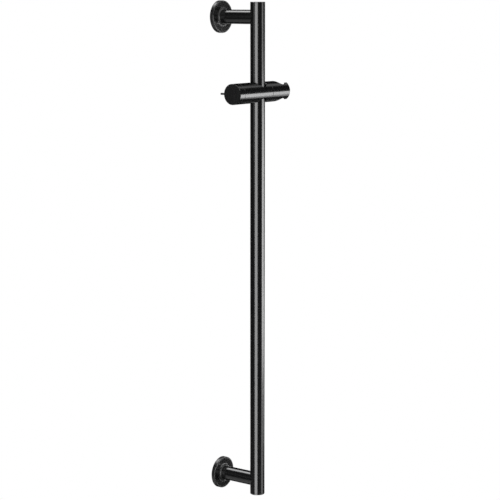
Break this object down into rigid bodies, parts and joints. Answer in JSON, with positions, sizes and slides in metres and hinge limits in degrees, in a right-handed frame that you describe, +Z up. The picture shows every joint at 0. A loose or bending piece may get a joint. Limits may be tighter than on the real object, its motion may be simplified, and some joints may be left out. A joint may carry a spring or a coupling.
{
  "type": "shower slide rail",
  "caption": "Round wall-mounted shower slide rail on flanged arms, with a clamping cylindrical slider that carries a slotted, tilting holder for a hand shower.",
  "frame": {"origin": "on the wall plane, at the centre of the lower wall fixing", "axes": "+Z up along the rail, +X along the wall to the right when facing it, +Y into the wall"},
  "size_m": [0.1238, 0.0852, 0.748],
  "materials": {
    "black_rail": "satin black coat on steel tube",
    "black_bracket": "satin black coat on turned metal",
    "black_slider": "satin black coat on turned metal",
    "plate_steel": "plain turned steel",
    "screw_steel": "bright screw steel",
    "turned_brass": "plain turned brass",
    "nylon": "black nylon, slightly waxy"
  },
  "bodies": {
    "rail": {"rail_tube": "black_rail", "rail_top_cap": "black_rail", "rail_bottom_cap": "black_rail", "upper_arm": "black_bracket", "lower_arm": "black_bracket", "upper_flange": "black_bracket", "lower_flange": "black_bracket", "upper_wall_plate": "plate_steel", "lower_wall_plate": "plate_steel", "upper_arm_bolt": "screw_steel", "lower_arm_bolt": "screw_steel", "upper_grub_screw": "screw_steel", "lower_grub_screw": "screw_steel", "upper_rail_insert": "turned_brass", "lower_rail_insert": "turned_brass"},
    "glide": {"upper_glide_ring": "nylon", "lower_glide_ring": "nylon"},
    "slider": {"slider_body": "black_slider", "knob_stop_screw": "screw_steel", "holder_pivot_screw": "screw_steel"},
    "knob": {"clamp_knob": "black_slider", "clamp_spindle": "screw_steel", "lever_pin": "black_slider"},
    "plunger": {"clamp_plunger": "turned_brass", "clamp_pad": "nylon"},
    "holder": {"handset_holder": "black_slider", "friction_washer": "nylon", "disc_spring": "screw_steel"}
  },
  "joints": [
    {"name": "slider_slide", "type": "slide", "parent": "rail", "child": "glide", "axis": [0, 0, 1], "range_m": [-0.55, 0.083]},
    {"name": "slider_swivel", "type": "hinge", "parent": "glide", "child": "slider", "pos_m": [0, -0.07, 0.59], "axis": [0, 0, 1], "continuous": true},
    {"name": "knob_turn", "type": "hinge", "parent": "slider", "child": "knob", "pos_m": [-0.05, -0.07, 0.59], "axis": [1, 0, 0], "range_deg": [-90, 0]},
    {"name": "plunger_travel", "type": "slide", "parent": "slider", "child": "plunger", "axis": [1, 0, 0], "range_m": [-0.0005, 0]},
    {"name": "holder_tilt", "type": "hinge", "parent": "slider", "child": "holder", "pos_m": [0.019, -0.07, 0.59], "axis": [1, 0, 0], "continuous": true}
  ],
  "couplings": [
    {"joint": "plunger_travel", "follows": "knob_turn", "m_per_rad": 0.0003183}
  ]
}
